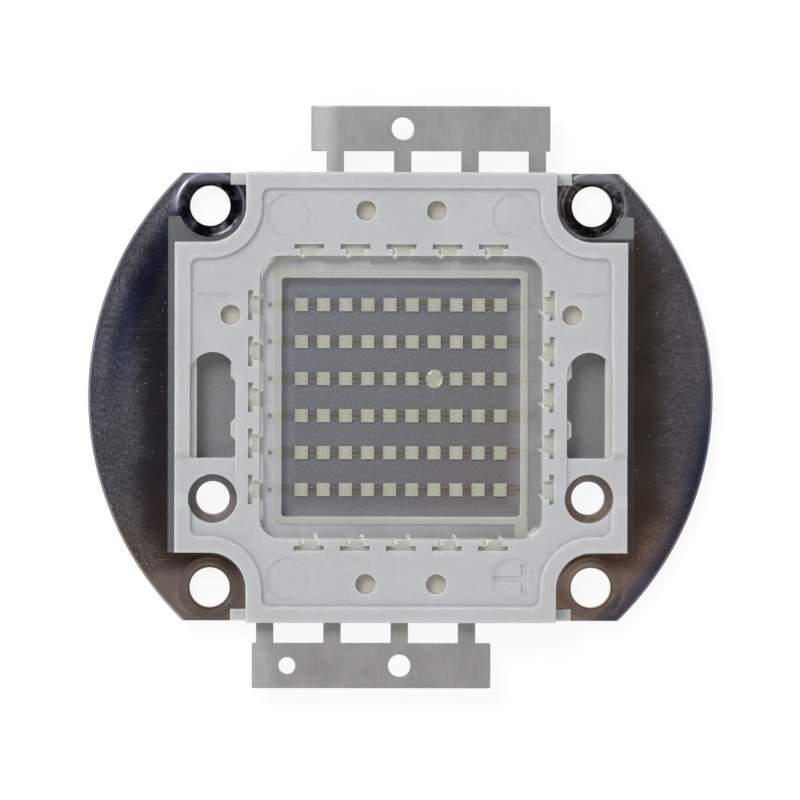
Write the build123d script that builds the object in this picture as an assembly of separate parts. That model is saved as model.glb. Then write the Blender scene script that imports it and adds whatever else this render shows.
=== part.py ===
from build123d import *
from math import hypot, radians, tan

# High power ultraviolet LED emitter, chip on board package.
# A plated copper plate carries a white moulded housing, two stamped leads, a field of dies with
# their bond wires, and a clear silicone fill.
# Origin at the middle of the plate's underside, +Z towards the emitting side, +X along the longer
# side of the plate, +Y towards the tab that has one hole. Millimetres.

# Housing
HOUSING_WIDTH = 40.4
HOUSING_DEPTH = 40.2
HOUSING_HEIGHT = 2.8
HOUSING_EDGE_BREAK = 0.12
RIM_WIDTH = 1.35
RIM_RISE = 0.4
RIM_DRAFT = 25.0
RIM_CORNER = 0.75
FOOT_SHOW = 1.4
FOOT_LIFT = 0.15
FOOT_RISE = 0.45

# Screw holes, set in from the housing's sides, with room round each for the screw's head
SCREW_INSET_X = 3.1
SCREW_INSET_Y = 3.0
SCREW_RADIUS = 1.8
SCREW_EDGE_ROLL = 0.2
SCREW_CLEARANCE = 3.25

# Base plate
PLATE_THICKNESS = 1.5
PLATE_MARGIN = 3.817
PLATE_SETBACK = 0.05
PLATE_ROLL_WIDTH = 0.2
PLATE_ROLL_DROP = 0.25
NOTCH_DEPTH = 1.05

# Locating holes
PEG_Y = -9.05
PEG_RADIUS = 1.5
PEG_CLEARANCE = 0.7

# Die field
DIE_SIZE = 1.17
DIE_THICKNESS = 0.15
DIE_PITCH_X = 1.98
DIE_PITCH_Y = 3.31
DIE_COLUMNS = 10
DIE_ROWS = 6
ATTACH_THICKNESS = 0.03

# Emitting window, from the dies outwards
FIELD_MARGIN_X = 1.2
FIELD_MARGIN_Y = 1.84
FIELD_CORNER = 0.35
LIP_WIDTH = 0.67
LIP_CORNER = 0.45
LIP_RISE = 0.15
LEDGE_WIDTH = 1.28
CAVITY_CORNER = 1.9
BRIDGE_WIDTH = 1.16

# Locks for the silicone in the cavity wall
LOCK_COUNT = 5
LOCK_PITCH = 4.11
LOCK_STEM_WIDTH = 1.6
LOCK_STEM_LENGTH = 0.6
LOCK_BAR_WIDTH = 2.65
LOCK_BAR_LENGTH = 0.42
LOCK_FLOOR_DEPTH = 0.45

# Leads
LEAD_THICKNESS = 0.3
LEAD_LIFT = 0.8
RING_MARGIN = 0.7
RING_COVER = 0.6
LEG_COUNT = 4
LEG_PITCH = 6.02
LEG_WIDTH = 1.55
LEG_OFFSET = 3.11
LEG_REACH = 1.9
TAB_WIDTH = 4.05
TAB_END_LONG = 1.37
TAB_END_SHORT = 0.38
TAB_CORNER = 0.15
TAB_HOLE_RADIUS = 1.0
TAB_MARK_RADIUS = 0.75
TAB_MARK_SPACING = 10.05

# Side slots and the low stretch of rim beside the locating holes
SLOT_WALL = 0.42
SLOT_TOP = 4.05
SLOT_BOTTOM = -5.43
SLOT_CORNER = 0.35
SLOT_STEP_RISE = 2.0
SLOT_STEP_WIDTH = 0.6
SLOT_NUB_WIDTH = 0.42
SLOT_NUB_LENGTH = 2.0
SLOT_NUB_TOP = 3.4
SLOT_NUB_PITCH = 5.25
PAD_DROP = 0.15
PAD_RAMP_STEEP = 0.6
PAD_RAMP_GENTLE = 1.25

# Blind pits, ejector marks, moulded ticks and the polarity mark
PIT_RADIUS = 0.9
PIT_DEPTH = 0.9
PIT_PITCH = 6.3
PIT_OFFSET = 0.45
SIDE_PIT_Y = 7.36
EJECTOR_RADIUS = 1.95
EJECTOR_DEPTH = 0.07
EJECTOR_PITCH = 20.1
MARK_STEM_LENGTH = 2.7
MARK_BAR_LENGTH = 2.7
MARK_BAR_OFFSET = 0.95
MARK_WIDTH = 0.55
MARK_DEPTH = 0.12
TICK_LENGTH = 2.6
TICK_WIDTH = 0.4
TICK_DEPTH = 0.05
TICK_Y = 9.12

# Silicone fill
FILL_DROP = 0.06
MENISCUS_DEPTH = 0.4
MENISCUS_WIDTH = 1.4
BEAD_RADIUS = 0.8
BEAD_HEIGHT = 0.3
BEAD_COLUMN = 6
BEAD_ROW = 2

# Bond wires
WIRE_WIDTH = 0.06
WIRE_SPACING = 0.42
WIRE_LOOP_RISE = 0.32
WIRE_CREST_SHARE = 0.3
WIRE_LIP_CLEARANCE = 0.3
BOND_INSET = 0.22
LEDGE_BOND_SHARE = 0.5

# Levels
Z_PLATE = PLATE_THICKNESS
Z_LEAD = Z_PLATE + LEAD_LIFT
Z_LEDGE = Z_LEAD + LEAD_THICKNESS
Z_LIP = Z_LEDGE + LIP_RISE
Z_RIM = Z_PLATE + HOUSING_HEIGHT
Z_PANEL = Z_RIM - RIM_RISE
Z_PAD = Z_PANEL - PAD_DROP
Z_STEP = Z_PLATE + SLOT_STEP_RISE
Z_LOCK = Z_PANEL - LOCK_FLOOR_DEPTH
Z_FILL = Z_PANEL - FILL_DROP
Z_DIE = Z_PLATE + ATTACH_THICKNESS
Z_DIE_TOP = Z_DIE + DIE_THICKNESS

# Half sizes of the nested outlines, from the die field outwards
FIELD_X = (DIE_COLUMNS - 1) * DIE_PITCH_X / 2 + DIE_SIZE / 2 + FIELD_MARGIN_X
FIELD_Y = (DIE_ROWS - 1) * DIE_PITCH_Y / 2 + DIE_SIZE / 2 + FIELD_MARGIN_Y
LIP_X = FIELD_X + LIP_WIDTH
LIP_Y = FIELD_Y + LIP_WIDTH
CAVITY_X = LIP_X + LEDGE_WIDTH
CAVITY_Y = LIP_Y + LEDGE_WIDTH
LOCK_DEPTH = LOCK_STEM_LENGTH + LOCK_BAR_LENGTH
RING_X = CAVITY_X + LOCK_DEPTH + RING_MARGIN
RING_Y = CAVITY_Y + LOCK_DEPTH + RING_MARGIN

# Places that follow from the outlines
SCREW_X = HOUSING_WIDTH / 2 - SCREW_INSET_X
SCREW_Y = HOUSING_DEPTH / 2 - SCREW_INSET_Y
PLATE_RADIUS = hypot(SCREW_X, SCREW_Y) + PLATE_MARGIN
PLATE_DEPTH = HOUSING_DEPTH - 2 * PLATE_SETBACK
NOTCH_WIDTH = 2 * (SCREW_X - SCREW_CLEARANCE + FOOT_SHOW)
RIM_X = HOUSING_WIDTH / 2 - RIM_WIDTH
RIM_Y = HOUSING_DEPTH / 2 - RIM_WIDTH
SLOT_INNER = RING_X + SLOT_WALL
SLOT_X = (SLOT_INNER + RIM_X) / 2
SLOT_RADIUS = (RIM_X - SLOT_INNER) / 2
PANEL_MID_Y = (CAVITY_Y + LOCK_DEPTH + RIM_Y) / 2
SIDE_PIT_X = SLOT_INNER + PIT_OFFSET
TAB_INNER_Y = HOUSING_DEPTH / 2 + LEG_REACH
TAB_Y = TAB_INNER_Y + TAB_WIDTH / 2

CORNERS = [(sx, sy) for sx in (-1, 1) for sy in (-1, 1)]
SIDES = (-1, 1)


def prism(sketch, low, high):
    """The sketch stood up between two levels."""
    return extrude(Pos(0, 0, low) * sketch, amount=high - low, dir=(0, 0, 1))


def block(x_low, x_high, y_low, y_high):
    """Rectangle between two places in X and two in Y."""
    centre = Pos((x_low + x_high) / 2, (y_low + y_high) / 2)
    return centre * Rectangle(x_high - x_low, y_high - y_low)


def save(shape, node):
    """Write one node, a single solid or a group of separate ones."""
    export_step(shape, f"parts/{node}.step")


# Outlines shared by the plate, the housing, the leads and the fill
def plate_outline():
    """Round plate with two flats, and a notch in each flat for the housing's foot."""
    outline = Circle(PLATE_RADIUS) & Rectangle(2 * PLATE_RADIUS, PLATE_DEPTH)
    for side in SIDES:
        outline -= Rot(0, 0, 90 - 90 * side) * foot_outline()
    return outline


def foot_outline():
    """Strip along the upper flat where the housing wraps round the plate's edge."""
    return block(-NOTCH_WIDTH / 2, NOTCH_WIDTH / 2, PLATE_DEPTH / 2 - NOTCH_DEPTH, PLATE_DEPTH / 2)


def housing_outline(inset):
    """Square with its corners scooped out round the screws, drawn inside the edge by the inset."""
    half_x = HOUSING_WIDTH / 2 - inset
    half_y = HOUSING_DEPTH / 2 - inset
    outline = Rectangle(2 * half_x, 2 * half_y)
    reach = SCREW_CLEARANCE + inset
    scoop = Circle(reach)
    scoop += block(-reach, PLATE_RADIUS, 0, PLATE_RADIUS)
    scoop += block(0, PLATE_RADIUS, -reach, PLATE_RADIUS)
    for sx, sy in CORNERS:
        turned = scoop
        if sx < 0:
            turned = mirror(turned, about=Plane.YZ)
        if sy < 0:
            turned = mirror(turned, about=Plane.XZ)
        outline -= Pos(sx * SCREW_X, sy * SCREW_Y) * turned
    return outline


def panel_outline(inset):
    """Floor of the sunk panel: the housing's outline inside the rim, with its outer corners round."""
    outline = housing_outline(inset)
    half_x = HOUSING_WIDTH / 2 - inset
    half_y = HOUSING_DEPTH / 2 - inset
    on_edge = [
        v for v in outline.vertices()
        if abs(abs(v.X) - half_x) < 1e-6 or abs(abs(v.Y) - half_y) < 1e-6
    ]
    return fillet(on_edge, RIM_CORNER)


def field_outline():
    return RectangleRounded(2 * FIELD_X, 2 * FIELD_Y, FIELD_CORNER)


def lip_outline():
    return RectangleRounded(2 * LIP_X, 2 * LIP_Y, LIP_CORNER)


def cavity_outline():
    return RectangleRounded(2 * CAVITY_X, 2 * CAVITY_Y, CAVITY_CORNER)


def bridge_outline():
    """Plastic that keeps the two leads apart at the upper left and the lower right of the ledge."""
    bridge = block(-LIP_X, -LIP_X + BRIDGE_WIDTH, LIP_Y - LIP_CORNER, RING_Y)
    return bridge + Rot(0, 0, 180) * bridge


def lock_outlines():
    """T shaped pockets in the four walls of the cavity, open to it at the stem and shallower than it."""
    locks = []
    first = -(LOCK_COUNT - 1) * LOCK_PITCH / 2
    stem_root = CAVITY_CORNER
    for turn in range(4):
        wall = CAVITY_Y if turn % 2 == 0 else CAVITY_X
        stem_end = wall + LOCK_STEM_LENGTH
        for index in range(LOCK_COUNT):
            middle = first + index * LOCK_PITCH
            half_stem = LOCK_STEM_WIDTH / 2
            half_bar = LOCK_BAR_WIDTH / 2
            lock = block(middle - half_stem, middle + half_stem, wall - stem_root, stem_end)
            lock += block(middle - half_bar, middle + half_bar, stem_end, wall + LOCK_DEPTH)
            locks.append(Rot(0, 0, 90 * turn) * lock)
    return locks


# Leads: each is one stamping, a tab, four legs and half of the ring round the window
def lead_sketch():
    half_ring = block(-LIP_X + BRIDGE_WIDTH, RING_X, 0, RING_Y) + block(0, RING_X, -RING_Y, RING_Y)
    half_ring -= lip_outline()
    half_ring -= block(-RING_X, LIP_X, -RING_Y, 0)
    lead = half_ring & housing_outline(RING_COVER)
    first_leg = LEG_OFFSET - (LEG_COUNT - 1) * LEG_PITCH / 2
    last_leg = first_leg + (LEG_COUNT - 1) * LEG_PITCH
    for index in range(LEG_COUNT):
        leg_x = first_leg + index * LEG_PITCH
        lead += block(leg_x - LEG_WIDTH / 2, leg_x + LEG_WIDTH / 2, RING_Y - RING_MARGIN, TAB_Y)
    tab_left = first_leg - LEG_WIDTH / 2 - TAB_END_LONG
    tab_right = last_leg + LEG_WIDTH / 2 + TAB_END_SHORT
    tab = block(tab_left, tab_right, TAB_INNER_Y, TAB_INNER_Y + TAB_WIDTH)
    lead += fillet(tab.vertices(), TAB_CORNER)
    tab_hole_x = LEG_OFFSET - LEG_PITCH / 2
    return lead - Pos(tab_hole_x, TAB_Y) * Circle(TAB_HOLE_RADIUS)


lead_upper = prism(lead_sketch(), Z_LEAD, Z_LEDGE)
mark_hole = Pos(LEG_OFFSET - LEG_PITCH / 2 + TAB_MARK_SPACING, TAB_Y) * Circle(TAB_MARK_RADIUS)
lead_lower = Rot(0, 0, 180) * prism(lead_sketch() - mark_hole, Z_LEAD, Z_LEDGE)
save(lead_upper, "lead_upper")
save(lead_lower, "lead_lower")


# Base plate: stamped, so its upper edges are rolled over
def make_plate():
    plate = prism(plate_outline(), 0, Z_PLATE)
    top = plate.faces().sort_by(Axis.Z)[-1]
    arcs = top.edges().filter_by(GeomType.CIRCLE)
    plate = chamfer(arcs, PLATE_ROLL_WIDTH, PLATE_ROLL_DROP, reference=top)
    screw = Pos(0, 0, Z_PLATE / 2) * Cylinder(SCREW_RADIUS, Z_PLATE)
    plate -= [Pos(sx * SCREW_X, sy * SCREW_Y, 0) * screw for sx, sy in CORNERS]
    holes = plate.edges().filter_by(GeomType.CIRCLE)
    holes = holes.filter_by(lambda e: abs(e.radius - SCREW_RADIUS) < 1e-6)
    plate = chamfer(holes.group_by(Axis.Z)[-1], SCREW_EDGE_ROLL)
    peg = Pos(0, 0, Z_PLATE / 2) * Cylinder(PEG_RADIUS, Z_PLATE)
    plate -= [Pos(side * SLOT_X, PEG_Y, 0) * peg for side in SIDES]
    return plate


save(make_plate(), "base_plate")


# Housing: one moulding over the plate's edges, round the leads
def slot_outlines():
    """Side slot on the right: its upper outline and the narrower one below the step."""
    upper = block(SLOT_INNER, RIM_X, SLOT_BOTTOM, SLOT_TOP - SLOT_RADIUS)
    upper = fillet(upper.vertices().group_by(Axis.Y)[0], SLOT_CORNER)
    upper += Pos(SLOT_X, SLOT_TOP - SLOT_RADIUS) * Circle(SLOT_RADIUS)
    lower = upper - block(RIM_X - SLOT_STEP_WIDTH, RIM_X, SLOT_BOTTOM, SLOT_TOP)
    for nub_top in (SLOT_NUB_TOP, SLOT_NUB_TOP - SLOT_NUB_PITCH):
        tip = SLOT_INNER + SLOT_NUB_WIDTH
        shoulder = SLOT_NUB_WIDTH
        nub = Polyline(
            (SLOT_INNER - SLOT_WALL / 2, nub_top), (SLOT_INNER, nub_top), (tip, nub_top - shoulder),
            (tip, nub_top - SLOT_NUB_LENGTH + shoulder), (SLOT_INNER, nub_top - SLOT_NUB_LENGTH),
            (SLOT_INNER - SLOT_WALL / 2, nub_top - SLOT_NUB_LENGTH), close=True,
        )
        lower -= make_face(nub)
    return upper, lower


def pad_cut():
    """Low stretch of rim beside the locating hole, with a steep ramp above and a gentle one below."""
    top = SLOT_BOTTOM
    bottom = PEG_Y - PEG_RADIUS / 2
    profile = Polyline(
        (top + PAD_RAMP_STEEP, Z_RIM), (top, Z_PAD), (bottom + PAD_RAMP_GENTLE, Z_PAD),
        (bottom, Z_RIM), close=True,
    )
    ramped = extrude(Plane.YZ * make_face(profile), amount=HOUSING_WIDTH)
    beside_rim = prism(block(RIM_X - RIM_WIDTH, HOUSING_WIDTH, -HOUSING_DEPTH, HOUSING_DEPTH), 0, 2 * Z_RIM)
    ramp = ramped & beside_rim
    inner = prism(block(SLOT_INNER, RIM_X, PEG_Y, SLOT_BOTTOM + SLOT_CORNER), Z_PAD, Z_RIM)
    return ramp + inner


def make_housing():
    body = prism(housing_outline(0), Z_PLATE, Z_RIM)
    body = chamfer(body.faces().sort_by(Axis.Z)[-1].edges(), HOUSING_EDGE_BREAK)

    # Panel sunk inside the rim, its walls drafted for the mould
    draft = RIM_RISE * tan(radians(RIM_DRAFT))
    panel_floor = Pos(0, 0, Z_PANEL) * panel_outline(RIM_WIDTH + draft)
    panel_mouth = Pos(0, 0, Z_RIM) * panel_outline(RIM_WIDTH)
    body -= loft([panel_floor.face(), panel_mouth.face()], ruled=True)

    # Feet that fill the plate's notches
    for side in SIDES:
        body += Rot(0, 0, 90 - 90 * side) * prism(foot_outline(), FOOT_LIFT, Z_PLATE + FOOT_RISE)

    # Stepped window: open field, lip, ledge for the leads, cavity above
    body -= prism(field_outline(), Z_PLATE, Z_RIM)
    body -= prism(cavity_outline(), Z_LIP, Z_RIM)
    ledge = cavity_outline() - lip_outline() - bridge_outline()
    body -= prism(ledge, Z_LEDGE, Z_LIP)
    body -= [prism(lock, Z_LOCK, Z_RIM) for lock in lock_outlines_outside()]

    # Side slots, low rim and locating holes
    upper, lower = slot_outlines()
    cuts = [prism(upper, Z_STEP, Z_RIM), prism(lower, Z_PLATE, Z_STEP), pad_cut()]
    peg_clear = Pos(SLOT_X, PEG_Y) * Circle(PEG_RADIUS + PEG_CLEARANCE)
    cuts.append(prism(peg_clear, Z_PLATE, Z_RIM))
    for cut in cuts:
        body -= [cut, mirror(cut, about=Plane.YZ)]

    # Blind pits, ejector marks and ticks
    on_panel = panel_outline(RIM_WIDTH + draft)
    pit_y = PANEL_MID_Y + PIT_OFFSET
    pits = [Pos(sx * PIT_PITCH / 2, sy * pit_y) * Circle(PIT_RADIUS) for sx, sy in CORNERS]
    pits += [Pos(side * SIDE_PIT_X, SIDE_PIT_Y) * Circle(PIT_RADIUS) for side in SIDES]
    discs = [Pos(sx * EJECTOR_PITCH / 2, sy * PANEL_MID_Y) * Circle(EJECTOR_RADIUS) for sx, sy in CORNERS]
    ticks = [Pos(side * SLOT_X, TICK_Y) * Rectangle(TICK_LENGTH, TICK_WIDTH) for side in SIDES]
    for marks, depth in ((pits, PIT_DEPTH), (discs, EJECTOR_DEPTH), (ticks, TICK_DEPTH)):
        body -= [prism(mark & on_panel, Z_PANEL - depth, Z_PANEL) for mark in marks]

    # Polarity mark: a bar across the end of a stem, in the lower right ejector mark
    bar_x = EJECTOR_PITCH / 2 + MARK_BAR_OFFSET
    polarity = block(bar_x - MARK_STEM_LENGTH, bar_x, -MARK_WIDTH / 2, MARK_WIDTH / 2)
    polarity += Pos(bar_x, 0) * Rectangle(MARK_WIDTH, MARK_BAR_LENGTH)
    polarity = Pos(0, -PANEL_MID_Y) * polarity & on_panel
    body -= prism(polarity, Z_PANEL - EJECTOR_DEPTH - MARK_DEPTH, Z_PANEL)

    # The leads are moulded in
    return body - lead_upper - lead_lower


def lock_outlines_outside():
    """The locks without the part of the stem that lies in the cavity."""
    return [lock - cavity_outline() for lock in lock_outlines()]


housing = make_housing()
save(housing, "housing_frame")


# Dies and their attach pads, one node for each row
def column_x(column):
    return (column - (DIE_COLUMNS - 1) / 2) * DIE_PITCH_X


def row_y(row):
    return ((DIE_ROWS - 1) / 2 - row) * DIE_PITCH_Y


def row_of_squares(row, low, high):
    square = prism(Rectangle(DIE_SIZE, DIE_SIZE), low, high)
    return [Pos(column_x(column), row_y(row), 0) * square for column in range(DIE_COLUMNS)]


inner_pieces = []
for row in range(DIE_ROWS):
    attach = row_of_squares(row, Z_PLATE, Z_DIE)
    dies = row_of_squares(row, Z_DIE, Z_DIE_TOP)
    save(Compound(children=attach), f"die_attach_row_{row + 1}")
    save(Compound(children=dies), f"led_dies_row_{row + 1}")
    inner_pieces += row_of_squares(row, Z_PLATE, Z_DIE_TOP)


# Bond wires: each rises steeply from its first bond and slopes down to the second
def loop_wire(start, crest, end):
    """Wire in the XZ plane through its first bond, its crest and its second bond."""
    way = 1 if end[0] > start[0] else -1
    foot = way * WIRE_WIDTH
    profile = Polyline(
        start, crest, end,
        (end[0] - foot, end[1]), (crest[0], crest[1] - WIRE_WIDTH), (start[0] + foot, start[1]), close=True,
    )
    return extrude(Plane.XZ * make_face(profile), amount=WIRE_WIDTH / 2, both=True)


def pair_of_wires(wire, x, y):
    return [Pos(x, y + side * WIRE_SPACING / 2, 0) * wire for side in SIDES]


bond_x = DIE_SIZE / 2 - BOND_INSET
span = DIE_PITCH_X - 2 * bond_x
between = loop_wire(
    (bond_x, Z_DIE_TOP), (bond_x + span * WIRE_CREST_SHARE, Z_DIE_TOP + WIRE_LOOP_RISE),
    (bond_x + span, Z_DIE_TOP),
)
last_bond = column_x(DIE_COLUMNS - 1) + bond_x
ledge_bond = LIP_X + LEDGE_WIDTH * LEDGE_BOND_SHARE
crest = (FIELD_X + LIP_WIDTH / 2, Z_LIP + WIRE_LIP_CLEARANCE + WIRE_WIDTH)
to_right = loop_wire((last_bond, Z_DIE_TOP), crest, (ledge_bond, Z_LEDGE))
to_left = mirror(to_right, about=Plane.YZ)

left_wires = []
right_wires = []
for row in range(DIE_ROWS):
    y = row_y(row)
    wires = []
    for column in range(DIE_COLUMNS - 1):
        wires += pair_of_wires(between, column_x(column), y)
    save(Compound(children=wires), f"bond_wires_row_{row + 1}")
    inner_pieces += wires
    left_wires += pair_of_wires(to_left, 0, y)
    right_wires += pair_of_wires(to_right, 0, y)
save(Compound(children=left_wires), "ledge_wires_left")
save(Compound(children=right_wires), "ledge_wires_right")
inner_pieces += left_wires + right_wires


# Silicone: fills the window, grips the locks and creeps up the wall at its edge
def make_fill():
    ledge = cavity_outline() - lip_outline() - bridge_outline()
    fill = prism(field_outline(), Z_PLATE, Z_LIP)
    fill += prism(ledge, Z_LEDGE, Z_LIP)
    fill += prism(cavity_outline(), Z_LIP, Z_FILL)
    fill += [prism(lock, Z_LOCK, Z_FILL) for lock in lock_outlines_outside()]
    surface = Z_FILL - MENISCUS_DEPTH
    pool_x = 2 * (CAVITY_X - MENISCUS_WIDTH)
    pool_y = 2 * (CAVITY_Y - MENISCUS_WIDTH)
    pool = Pos(0, 0, surface) * RectangleRounded(pool_x, pool_y, CAVITY_CORNER)
    brim = Pos(0, 0, Z_FILL) * cavity_outline()
    fill -= loft([pool.face(), brim.face()], ruled=True)
    return fill - inner_pieces


save(make_fill(), "silicone_fill")


# Silicone bead: a stray drop that set on the fill above one die
def make_bead():
    cap_radius = (BEAD_RADIUS ** 2 + BEAD_HEIGHT ** 2) / (2 * BEAD_HEIGHT)
    arc = ThreePointArc(
        (0, BEAD_HEIGHT), (BEAD_RADIUS * 0.6, (cap_radius ** 2 - (BEAD_RADIUS * 0.6) ** 2) ** 0.5
                           - cap_radius + BEAD_HEIGHT), (BEAD_RADIUS, 0),
    )
    half = make_face([arc, Line((BEAD_RADIUS, 0), (0, 0)), Line((0, 0), (0, BEAD_HEIGHT))])
    cap = revolve(Plane.XZ * half, axis=Axis.Z)
    return Pos(column_x(BEAD_COLUMN), row_y(BEAD_ROW), Z_FILL - MENISCUS_DEPTH) * cap


save(make_bead(), "silicone_bead")
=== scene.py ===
import math
import random

import bmesh
import bpy
from mathutils import Matrix, Vector


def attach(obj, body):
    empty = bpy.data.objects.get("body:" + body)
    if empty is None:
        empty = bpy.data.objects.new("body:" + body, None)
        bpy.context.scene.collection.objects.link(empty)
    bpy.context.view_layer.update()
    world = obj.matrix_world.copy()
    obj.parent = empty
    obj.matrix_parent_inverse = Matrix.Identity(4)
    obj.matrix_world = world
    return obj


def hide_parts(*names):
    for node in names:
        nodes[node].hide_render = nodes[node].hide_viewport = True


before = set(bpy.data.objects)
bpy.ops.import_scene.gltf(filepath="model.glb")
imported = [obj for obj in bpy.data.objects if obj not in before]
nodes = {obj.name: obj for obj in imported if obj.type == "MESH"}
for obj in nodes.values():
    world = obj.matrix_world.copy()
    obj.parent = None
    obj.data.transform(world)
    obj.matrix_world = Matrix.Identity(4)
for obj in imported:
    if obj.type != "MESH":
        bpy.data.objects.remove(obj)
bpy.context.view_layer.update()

MM = 0.001


# Base plate: 1.5 mm copper, blanked to a circle with two flats and plated with bright nickel.
# The middle carries the dies and is plated satin; the two ears stay mirror bright, and handling has
# left haze, hairlines and specks on them. The frame is moulded over its edges.
def linear(code):
    """An sRGB hex colour as the linear colour that a shader takes."""
    channels = [int(code[i:i + 2], 16) / 255 for i in (1, 3, 5)]
    return tuple(c / 12.92 if c <= 0.04045 else ((c + 0.055) / 1.055) ** 2.4 for c in channels) + (1.0,)


def add_node(tree, kind, settings=None, links=None):
    """Adds one shader node, with its properties or socket values set and its inputs linked."""
    made = tree.nodes.new("ShaderNode" + kind)
    for name, value in (settings or {}).items():
        if isinstance(name, str) and hasattr(made, name):
            setattr(made, name, value)
        else:
            made.inputs[name].default_value = value
    for name, socket in (links or {}).items():
        tree.links.new(socket, made.inputs[name])
    return made


def new_material(name, colour, roughness, metallic=0.0):
    """A material, its shader, its tree and the Object coordinates that its patterns follow."""
    material = bpy.data.materials.new(name)
    material.use_nodes = True
    tree = material.node_tree
    shader = tree.nodes["Principled BSDF"]
    shader.inputs["Base Color"].default_value = linear(colour)
    shader.inputs["Roughness"].default_value = roughness
    shader.inputs["Metallic"].default_value = metallic
    return material, shader, tree, add_node(tree, "TexCoord").outputs["Object"]


def per_mm(size):
    """Scale at which a pattern's features are this many millimetres apart."""
    return 1 / (size * MM)


def dress(names, material):
    """Gives CAD nodes a material in place of the one that they came with."""
    for name in names:
        for slot in nodes[name].material_slots:
            slot.material = material


# Bright nickel: mirrors the dark ceiling above it. The ears are hazy from their outer edge inwards,
# with specks and hairlines, and stay clear and darker beside the frame. The middle is satin, greyer
# and speckled where the dies sit. The sizes are those of the CAD's plate, in millimetres.
nickel, shader, tree, place = new_material("bright_nickel_plate", "#C9C8C6", 0.1, 1.0)
SATIN_X, SATIN_Y, SATIN_LOW, RAGGED = 20.8, 16.1, 13.9, 0.06
SCREW_X, SCREW_Y, SCREW_RADIUS, SCREW_DISH = 17.1, 17.1, 1.8, 2.85
PEG_X, PEG_Y, PEG_RADIUS, PEG_DISH = 16.8175, -9.05, 1.5, 2.3
PLATE_RADIUS, PLATE_HALF = 28.0, 20.05
axes = add_node(tree, "SeparateXYZ", links={0: place})
folded = add_node(tree, "VectorMath", {"operation": "ABSOLUTE"}, {0: place}).outputs[0]
folded_axes = add_node(tree, "SeparateXYZ", links={0: folded})
flat = add_node(tree, "VectorMath", {"operation": "MULTIPLY", 1: (1, 1, 0)}, {0: folded}).outputs[0]
from_screw = add_node(tree, "VectorMath", {"operation": "DISTANCE", 1: (SCREW_X * MM, SCREW_Y * MM, 0)},
                      {0: flat}).outputs["Value"]
near_side = add_node(tree, "VectorMath", {"operation": "MULTIPLY", 1: (0, 1, 0)}, {0: place})
half_flat = add_node(tree, "VectorMath", {"operation": "MULTIPLY_ADD", 1: (1, 0, 0)},
                     {0: folded, 2: near_side.outputs[0]})
from_peg = add_node(tree, "VectorMath", {"operation": "DISTANCE", 1: (PEG_X * MM, PEG_Y * MM, 0)},
                    {0: half_flat.outputs[0]}).outputs["Value"]

# Where the satin ends, with a ragged edge.
ragged = add_node(tree, "TexNoise", {"Scale": per_mm(0.9), "Detail": 3.0}, {"Vector": place}).outputs[0]
satin_end = add_node(tree, "MapRange", {"From Min": -0.5 * MM, "From Max": 0.5 * MM,
                                        "To Min": SATIN_LOW * MM, "To Max": SATIN_Y * MM},
                     {"Value": axes.outputs["Y"]})
satin_end = add_node(tree, "CombineXYZ", {0: SATIN_X * MM}, {1: satin_end.outputs[0]})
beyond = add_node(tree, "VectorMath", {"operation": "SUBTRACT"}, {0: folded, 1: satin_end.outputs[0]})
beyond = add_node(tree, "SeparateXYZ", links={0: beyond.outputs[0]})
beyond = add_node(tree, "Math", {"operation": "MAXIMUM"}, {0: beyond.outputs["X"], 1: beyond.outputs["Y"]})
for distance, reach in ((from_screw, SCREW_DISH), (from_peg, PEG_DISH)):
    dish = add_node(tree, "Math", {"operation": "SUBTRACT", 0: reach * MM}, {1: distance})
    beyond = add_node(tree, "Math", {"operation": "MAXIMUM"}, {0: beyond.outputs[0], 1: dish.outputs[0]})
beyond = add_node(tree, "Math", {"operation": "MULTIPLY_ADD", 1: RAGGED * MM},
                  {0: ragged, 2: beyond.outputs[0]})
bright = add_node(tree, "MapRange", {"From Min": 0.05 * MM, "From Max": 0.12 * MM},
                  {"Value": beyond.outputs[0]}).outputs[0]

# Haze on the ears, as roughness: fine rubbing, thick towards the rim and patchy inwards, a little
# fainter on the right, with hairlines three ways and specks of grit.
rub_way = add_node(tree, "Mapping", {"Scale": (per_mm(0.22), per_mm(0.34), per_mm(0.5))}, {0: place})
rub = add_node(tree, "TexNoise", {"Scale": 1.0, "Detail": 5.0, "Roughness": 0.75},
               {"Vector": rub_way.outputs[0]})
rub = add_node(tree, "MapRange", {"From Min": 0.33, "From Max": 0.66}, {"Value": rub.outputs[0]})
patch = add_node(tree, "TexNoise", {"Scale": per_mm(4), "Detail": 4.0, "Roughness": 0.6}, {"Vector": place})
from_middle = add_node(tree, "VectorMath", {"operation": "LENGTH"}, {0: flat}).outputs["Value"]
rim_way = add_node(tree, "Math", {"operation": "SUBTRACT", 1: 2.2 * MM}, {0: from_middle})
rim_way = add_node(tree, "Math", {"operation": "MAXIMUM"},
                   {0: rim_way.outputs[0], 1: folded_axes.outputs["X"]})
out_way = add_node(tree, "Math", {"operation": "MULTIPLY_ADD", 1: 3.4 * MM},
                   {0: patch.outputs[0], 2: rim_way.outputs[0]})
outwards = add_node(tree, "MapRange", {"interpolation_type": "SMOOTHSTEP", "From Min": 23.2 * MM,
                                       "From Max": 26.4 * MM, "To Min": 0.12}, {"Value": out_way.outputs[0]})
haze = add_node(tree, "Math", {"operation": "MULTIPLY_ADD", 1: 0.6, 2: 0.4}, {0: rub.outputs[0]})
haze = add_node(tree, "Math", {"operation": "MULTIPLY"}, {0: haze.outputs[0], 1: outwards.outputs[0]})
side = add_node(tree, "MapRange", {"From Min": -24 * MM, "From Max": 24 * MM}, {"Value": axes.outputs["X"]})
fainter = add_node(tree, "MapRange", {"To Min": 0.27, "To Max": 0.25}, {"Value": side.outputs[0]})
MIRROR_ROUGHNESS = 0.1
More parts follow.
